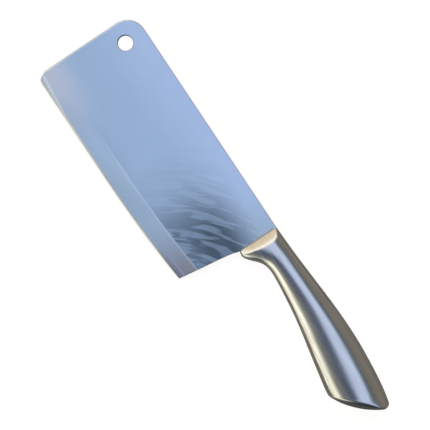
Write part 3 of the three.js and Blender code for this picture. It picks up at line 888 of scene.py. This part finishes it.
def tang_outline():
    """A rectangle with two round corners at its far end."""
    x, low, high = TANG_END - TANG_CORNER, TANG_LOW + TANG_CORNER, TANG_HIGH - TANG_CORNER
    turns = [(TANG_CORNER * math.sin(t), TANG_CORNER * math.cos(t)) for t in np.linspace(0, math.pi / 2, 9)]
    lower = [(x + sine, low - cosine) for sine, cosine in turns]
    upper = [(x + cosine, high + sine) for sine, cosine in turns]
    return [(TANG_START, TANG_LOW), *lower, *upper, (TANG_START, TANG_HIGH)]


inner_z, outer_z = BLADE_HALF - CHAMFER, BLADE_HALF + CUT_PAST - CHAMFER
straight = circle(HOLE_X, HOLE_Y, HOLE_RADIUS)
wide = circle(HOLE_X, HOLE_Y, HOLE_RADIUS + CUT_PAST)
cutter = prism("hole", [(-outer_z, wide), (-inner_z, straight), (inner_z, straight), (outer_z, wide)])
tang = prism("tang", [(-TANG_HALF, tang_outline()), (TANG_HALF, tang_outline())])
blade_skin = combine(combine(blade_mesh(), cutter, "DIFFERENCE"), tang, "UNION")
print("blade skin:", len(blade_skin.vertices), "points")

# %% [markdown]
# The blade's patterns are measured from the drawing's origin too. The cutting edge is a curve in them, with
# the rise that edge_line() has, so the height above it says at once what is bevel, grind and flat side.

# %% Places on the blade
def blade_places(tree):
    """The place as a vector, its x and y, its height above the cutting edge, and 1 above the grind."""
    place = drawing_place(tree)
    x, y, _ = place.xyz()
    rise = ((x - EDGE_STRAIGHT_TO) / EDGE_RISE_LENGTH).math("MAXIMUM", 0.0).math("POWER", EDGE_RISE_POWER)
    height = y + BLADE_HEIGHT - rise * EDGE_RISE
    return place, x, y, height, height.smooth(GRIND_HEIGHT - 0.2 * MM, GRIND_HEIGHT + 0.5 * MM)


# %% [markdown]
# An acid etch left flowing bands over the heel half of the side, above the grind. They are noise that is
# drawn out along a bent path and cut into light ribbons, with finer strokes low down. Position fades the
# dark ground behind them towards the tip and the spine.

# %% The etch
FLOW_TURN = math.radians(-44)
FLOW_BEND = 3.6
ETCH_DARK = (0.135, 0.18, 0.215)
# the colour of the painted highlight along the etched ribbons' edges
ETCH_HIGHLIGHT = (0.66, 0.74, 0.82)


def etch_masks(place, x, y, height, above_grind):
    """How deep the etch is, and a thin painted highlight along its ribbons' edges."""
    turned = {"Vector": place, "Location": (50 * MM, 0, 0), "Rotation": (0, 0, FLOW_TURN)}
    along, across, _ = node(place.tree, "ShaderNodeMapping", turned).xyz()
    bent = across + along.math("POWER", 2.0) * FLOW_BEND
    curved = node(place.tree, "ShaderNodeCombineXYZ", {0: along, 1: bent})
    tongues = stretched_noise(curved, (33, 205, 1), detail=2.0, roughness=0.45, distortion=0.5)
    strokes = stretched_noise(curved, (75, 560, 1), detail=1.0).smooth(0.56, 0.60)
    ribbons = tongues.smooth(0.52, 0.55)
    # a painted highlight along the ribbons' edges
    ribbon_highlight = tongues.smooth(0.495, 0.52) - ribbons
    light = ribbons.math("MAXIMUM", strokes * height.over(25, 17) * 0.8)
    heel = x.over(-64, -10) * y.over(-7, -36) * above_grind
    heel = heel * (1 - y.over(-36, -58) * x.over(-40, -5) * 0.42)
    region = x.over(-84, -55) * y.over(-2, -16) * above_grind
    approach = x.over(-86, -60) * y.over(-16, -36) * above_grind
    depth = heel * (1 - light * 0.42) + region * ribbons * -0.05 + region * 0.06 + approach * 0.07
    return depth.clamp(), ribbon_highlight * region * 0.25


# %% [markdown]
# The steel itself is brushed more finely than the grip. What the room lends it changes over the blade, and
# that reflection is painted into the colour: it is paler towards the spine, warm at the far corner, and the
# grind and the bevel mirror other walls than the flat side does. Each such painted reflection is a mask from
# position and a colour, and they are laid on in turn.

# %% Painted reflections on the ground edge
def painted_edge_reflections(x, y, height, above_grind):
    """(mask, colour) pairs of painted reflections on the grind, the bevel and the line beside it, in the
    order they are laid on.
    """
    crisp = x.over(-118, -72)  # towards the tip the grind has no shoulder, only a soft change
    ground = (1 - above_grind) * crisp + height.over(15.5, 7) * (1 - crisp)
    ground = ground * x.over(-150, -80) * (1 - x.over(-110, -60) * 0.25)
    far_corner = x.over(-102, -165) * y.over(-46, -70)
    heel_grind = (1 - above_grind) * x.over(-48, -2)
    root = x.over(-34, 0) * y.over(-30, -10)
    shoulder = height.smooth(GRIND_HEIGHT - 1.5 * MM, GRIND_HEIGHT - 0.6 * MM) * (1 - above_grind)
    near_edge = height.over(3.4, 0.8) * x.over(-18, -50)
    toe = x.over(-122, -146)
    slanted = height + (x + 150 * MM) * 0.1
    toe_line = slanted.over(0.9, 1.3) * slanted.over(3.4, 2.8) * toe
    tip_rim = x.smooth(0.35 * MM - BLADE_LENGTH, 0.1 * MM - BLADE_LENGTH)
    outer = height.over(0.65, 0.35).math("MAXIMUM", tip_rim)
    honed = height.over(1.4, 0.9)
    heel = x.over(-32, -10)
    heel_line = height.over(3.2, 3.7) * height.over(4.9, 4.3) * heel
    # Each pair is a painted reflection: lighter on the grind, at the far corner, on the shoulder, near the
    # edge, at the toe and along the heel's line; greyer at the root; darker on the heel's grind, the outer
    # rim, the honed bevel and the heel.
    return (
        (ground * 0.9, (0.78, 0.90, 0.95)),
        (far_corner, (0.84, 0.82, 0.81)),
        (heel_grind * 0.75, (0.40, 0.30, 0.25)),
        (root * 0.7, (0.53, 0.63, 0.66)),
        (shoulder * ground * 0.32, (0.95, 0.97, 1.0)),
        (near_edge * 0.55, (0.84, 0.83, 0.80)),
        (slanted.over(1.5, 1.1) * toe, (0.80, 0.80, 0.72)),
        (toe_line, (1.0, 1.0, 0.92)),
        (outer * 0.8, (0.40, 0.42, 0.46)),
        (toe * honed * 0.8, (0.46, 0.47, 0.56)),
        (height.over(3.8, 3.3) * heel * 0.55, (0.36, 0.34, 0.42)),
        (heel_line * 0.35, (0.80, 0.78, 0.84)),
        (honed * heel * 0.7, (0.24, 0.24, 0.28)),
    )


def painted_hole_shadow(x, y):
    """1 on the wall of the hang hole and on a thin crescent beside it: a painted shadow, as the hole lies in
    its own shadow.
    """
    flat = node(x.tree, "ShaderNodeCombineXYZ", {0: x, 1: y})
    away = flat.vector("DISTANCE", (HOLE_X - 0.4 * MM, HOLE_Y, 0)).out("Value")
    return away.smooth(HOLE_RADIUS + 0.35 * MM, HOLE_RADIUS)


# %% Blade steel
def blade_finish():
    material, tree = new_material("brushed_blade_steel")
    place, x, y, height, above_grind = blade_places(tree)
    etched, ribbon_highlight = etch_masks(place, x, y, height, above_grind)
    lines = stretched_noise(place, (160, 2600, 2600), detail=4.0)
    bands = stretched_noise(place, (14, 160, 160), detail=3.0)
    clouds = stretched_noise(place, (28, 28, 28), detail=4.0)
    marks = scratches(place, 0.9, 1.7) + scratches(place, -0.6, 5.3)
    shade = (lines - 0.5) * 0.08 + (bands - 0.5) * 0.10 + (clouds - 0.5) * 0.12 + 0.5
    # The grey is the steel's own; the blue cast is a painted reflection of the blue panel overhead.
    colour = mix_colour(shade.clamp(), (0.515, 0.63, 0.735), (0.575, 0.685, 0.78))
    tints = (
        # paler towards the spine: a painted reflection
        (y.over(-36, -3), (0.63, 0.725, 0.855)),
        *painted_edge_reflections(x, y, height, above_grind),
        (etched, ETCH_DARK),
        (ribbon_highlight, ETCH_HIGHLIGHT),
        (painted_hole_shadow(x, y), (0.05, 0.055, 0.08)),
    )
    for mask, tint in tints:
        colour = mix_colour(mask, colour, tint)
    roughness = (clouds * 0.08 + lines * 0.06 + etched * 0.10 + marks * 0.05 + 0.14).clamp()
    steel_surface(colour, roughness, lines * 0.5 + etched * -0.8 + marks * -0.5)
    return material


blade_steel = blade_finish()
new_piece("blade_and_tang", blade_skin, "blade", blade_steel)

# %% [markdown]
# Two beads of weld metal fill the corner between the blade and the bolster. A welder lays such a bead in
# small overlapping pools, so the tree runs a tube along a line and makes its radius swell with each pool.

# %% The beads at the tang
BEAD_FROM, BEAD_TO, BEAD_X = -2 * MM, -26.9 * MM, -0.05 * MM
BEAD_RADIUS = 0.6 * MM
POOL_LENGTH = 1.3 * MM
BEAD_TAPER = 1.2 * MM
BEAD_SEED = 4


def bead_tree():
    tree, given = new_tree("rippled_bead", "Bead", (
        ("Carrier", "Geometry"), ("Start", "Vector"), ("End", "Vector"), ("Material", "Material"),
    ))
    ends = {"Start": given.out("Start"), "End": given.out("End")}
    line = node(tree, "GeometryNodeCurvePrimitiveLine", ends)
    path = node(tree, "GeometryNodeResampleCurve", {"Curve": line, "Count": 120})
    along = node(tree, "GeometryNodeSplineParameter").out("Length")
    pools = along / POOL_LENGTH
    chance = {2: 0.96, 3: 1.04, "ID": pools.math("FLOOR"), "Seed": BEAD_SEED}
    uneven = node(tree, "FunctionNodeRandomValue", chance).out(1)
    swell = ((pools.math("FRACT") * math.pi).math("SINE") * 0.12 + 0.88) * uneven
    to_end = BEAD_FROM - BEAD_TO - along
    taper = (along / BEAD_TAPER).clamp() * (to_end / BEAD_TAPER).clamp()
    sized = node(tree, "GeometryNodeSetCurveRadius",
                 {"Curve": path, "Radius": swell * (taper.math("SQRT") * 0.6 + 0.4)})
    profile = node(tree, "GeometryNodeCurvePrimitiveCircle", {"Resolution": 16, "Radius": BEAD_RADIUS})
    tube = node(tree, "GeometryNodeCurveToMesh",
                {"Curve": sized, "Profile Curve": profile, "Fill Caps": True})
    painted = node(tree, "GeometryNodeSetMaterial", {"Geometry": tube, "Material": given.out("Material")})
    node(tree, "NodeGroupOutput", {"Bead": painted})
    return tree


BEAD = bead_tree()
for name, side in (("tang_weld_left", BLADE_HALF), ("tang_weld_right", -BLADE_HALF)):
    values = {"Start": (BEAD_X, BEAD_FROM, side), "End": (BEAD_X, BEAD_TO, side), "Material": bead_steel}
    bead = run_tree(name, BEAD, bpy.data.meshes.new(name), values)
    new_piece(name + "_bead", bead, name, bead_steel)

# %% [markdown]
# Polished steel shows what stands around it, so the surroundings matter more than the lamps. The world here
# is a plain studio: a blue-white panel overhead, a darker gap beside it, a warm wall low on one side and a
# bright warm one on the other. The angle runs across the grip, from the belly's side to the back's side.

# %% The studio around the object
DEGREES = 180 / math.pi


def studio():
    """The world. In each list of stops, an angle in degrees comes before a display colour."""
    world = bpy.data.worlds.new("studio")
    bpy.context.scene.world = world
    world.use_nodes = True
    tree = world.node_tree
    tree.nodes.clear()
    x, y, z = node(tree, "ShaderNodeTexCoord").out("Generated").xyz()
    across = y.math("ARCTAN2", z) * DEGREES
    stops = (
        (-180, (200, 200, 200)), (-130, (150, 146, 132)), (-100, (150, 143, 115)), (-84, (185, 180, 155)),
        (-72, (231, 231, 207)), (-56, (249, 250, 232)), (-47.5, (190, 189, 174)), (-39.5, (118, 118, 112)),
        (-28, (96, 100, 108)), (-17, (72, 81, 99)), (-11.5, (80, 91, 113)), (-8.5, (140, 152, 175)),
        (-5, (180, 194, 221)), (0, (187, 201, 227)), (8, (180, 194, 220)), (13, (150, 165, 190)),
        (19, (100, 110, 124)), (27, (90, 98, 102)), (38, (104, 104, 100)), (52, (114, 109, 101)),
        (82, (119, 114, 106)), (110, (124, 120, 112)), (180, (200, 200, 200)),
    )
    ramp = node(tree, "ShaderNodeValToRGB", {0: across / 360 + 0.5},
                stops=[(a / 360 + 0.5, linear(*c)) for a, c in stops])
    tilt = (x * -1).math("ARCTAN2", z) * DEGREES
    wall_stops = (
        (0, (250, 244, 232)), (34, (255, 249, 238)), (52, (240, 228, 208)), (66, (218, 202, 178)),
        (90, (206, 191, 166)), (120, (160, 154, 142)), (180, (150, 146, 132)),
    )
    wall = node(tree, "ShaderNodeValToRGB", {0: tilt / 180},
                stops=[(a / 180, linear(*c)) for a, c in wall_stops])
    colour = mix_colour(tilt.smooth(14, 32) * across.smooth(70, 20), ramp, wall)
    shade = x.smooth(0.30, 0.60) * across.smooth(5, -25)
    colour = mix_colour(shade, colour, linear(60, 66, 78))
    seen = node(tree, "ShaderNodeLightPath").out("Is Camera Ray")
    colour = mix_colour(seen, colour, (0.8, 0.8, 0.8))
    back = node(tree, "ShaderNodeBackground", {"Color": colour, "Strength": 1.25})
    node(tree, "ShaderNodeOutputWorld", {"Surface": back})


studio()
print("the studio's world has", len(bpy.context.scene.world.node_tree.nodes), "nodes")

# %% [markdown]
# The world alone would leave the object floating. Two soft lamps give the faint shadow that sets it down.
# They stay out of the reflections, which the world already draws.

# %% Lamps for the shadow
def lamp(name, place, size, power):
    """A square lamp above the object that points at it and is not seen in the steel."""
    data = bpy.data.lights.new(name, "AREA")
    data.shape = "SQUARE"
    data.size = size
    data.energy = power
    made = new_object(name, data)
    made.location = place
    made.rotation_euler = (-Vector(place)).to_track_quat("-Z", "Y").to_euler()
    made.visible_glossy = False


lamp("key", (-0.5, 0.7, 1.1), size=0.8, power=5)
lamp("fill", (0.7, -0.6, 1.0), size=1.2, power=3)
print("two lamps of 5 and 3 watts")

# %% [markdown]
# The real cleaver lies on the fattest part of its grip and on the far end of its cutting edge, so the floor
# leans a little in this frame. Its shader is plain pale paper that stays white for the camera where nothing
# shades it, and keeps the shadow.

# %% The floor
FLOOR_HALF = 3.0
FLOOR_GAP = 0.1 * MM


def resting_plane():
    """A point and the slope of a plane that touches the blade's far end and the grip from below."""
    pivot = Vector((blade_low.x, 0, blade_low.z))
    slopes = []
    for piece in bpy.context.scene.objects:
        if piece.type == "MESH" and "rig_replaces" in piece:
            points = np.array([v.co for v in piece.data.vertices])
            far = points[points[:, 0] > 0]
            if len(far):
                slopes.append(((far[:, 2] - pivot.z) / (far[:, 0] - pivot.x)).min())
    return pivot, min(slopes)


def paper():
    material, tree = new_material("pale_paper")
    place = node(tree, "ShaderNodeTexCoord").out("Object")
    grain = stretched_noise(place, (900, 900, 900), detail=2.0)
    colour = mix_colour(grain, (0.24, 0.225, 0.20), (0.26, 0.245, 0.22))
    diffuse = node(tree, "ShaderNodeBsdfDiffuse", {"Color": colour})
    glow = node(tree, "ShaderNodeEmission", {"Color": (1, 1, 1, 1), "Strength": 0.88})
    both = node(tree, "ShaderNodeAddShader", {0: diffuse, 1: glow})
    path = node(tree, "ShaderNodeLightPath")
    mixed = node(tree, "ShaderNodeMixShader", {0: path.out("Is Camera Ray"), 1: diffuse, 2: both})
    node(tree, "ShaderNodeOutputMaterial", {"Surface": mixed})
    return material


pivot, slope = resting_plane()
square = [(FLOOR_HALF * a, FLOOR_HALF * b) for a, b in ((-1, -1), (1, -1), (1, 1), (-1, 1))]
corners = [(pivot.x + a, b, pivot.z + slope * a - FLOOR_GAP) for a, b in square]
floor_mesh = bpy.data.meshes.new("floor")
floor_mesh.from_pydata(corners, [], [(0, 1, 2, 3)])
floor_mesh.materials.append(paper())
new_object("floor", floor_mesh)
print("the floor leans", round(math.degrees(math.atan(slope)), 2), "degrees")

# %% [markdown]
# A flat tool shows its outline best square on and from far away. The camera looks straight down at the
# blade with a long lens, and is turned about its own axis so that the blade points up and to the left.

# %% The camera
DISTANCE = 1.2
VIEW_WIDTH = 0.2795  # what the camera sees across, at the blade
SENSOR = 36
LOOK_AT = (-28.7 * MM, -28.8 * MM)
CAMERA_TURN = math.radians(56.3)
camera_data = bpy.data.cameras.new("camera")
camera_data.sensor_width = SENSOR
camera_data.lens = SENSOR * DISTANCE / VIEW_WIDTH
camera = new_object("camera", camera_data)
camera.location = ORIGIN + Vector((*LOOK_AT, DISTANCE))
camera.rotation_euler = (0, 0, CAMERA_TURN)
bpy.context.scene.camera = camera
print("lens", round(camera_data.lens), "mm")

# %% [markdown]
# Last, the view transform is set to Standard.

# %% The view transform
bpy.context.scene.view_settings.view_transform = "Standard"
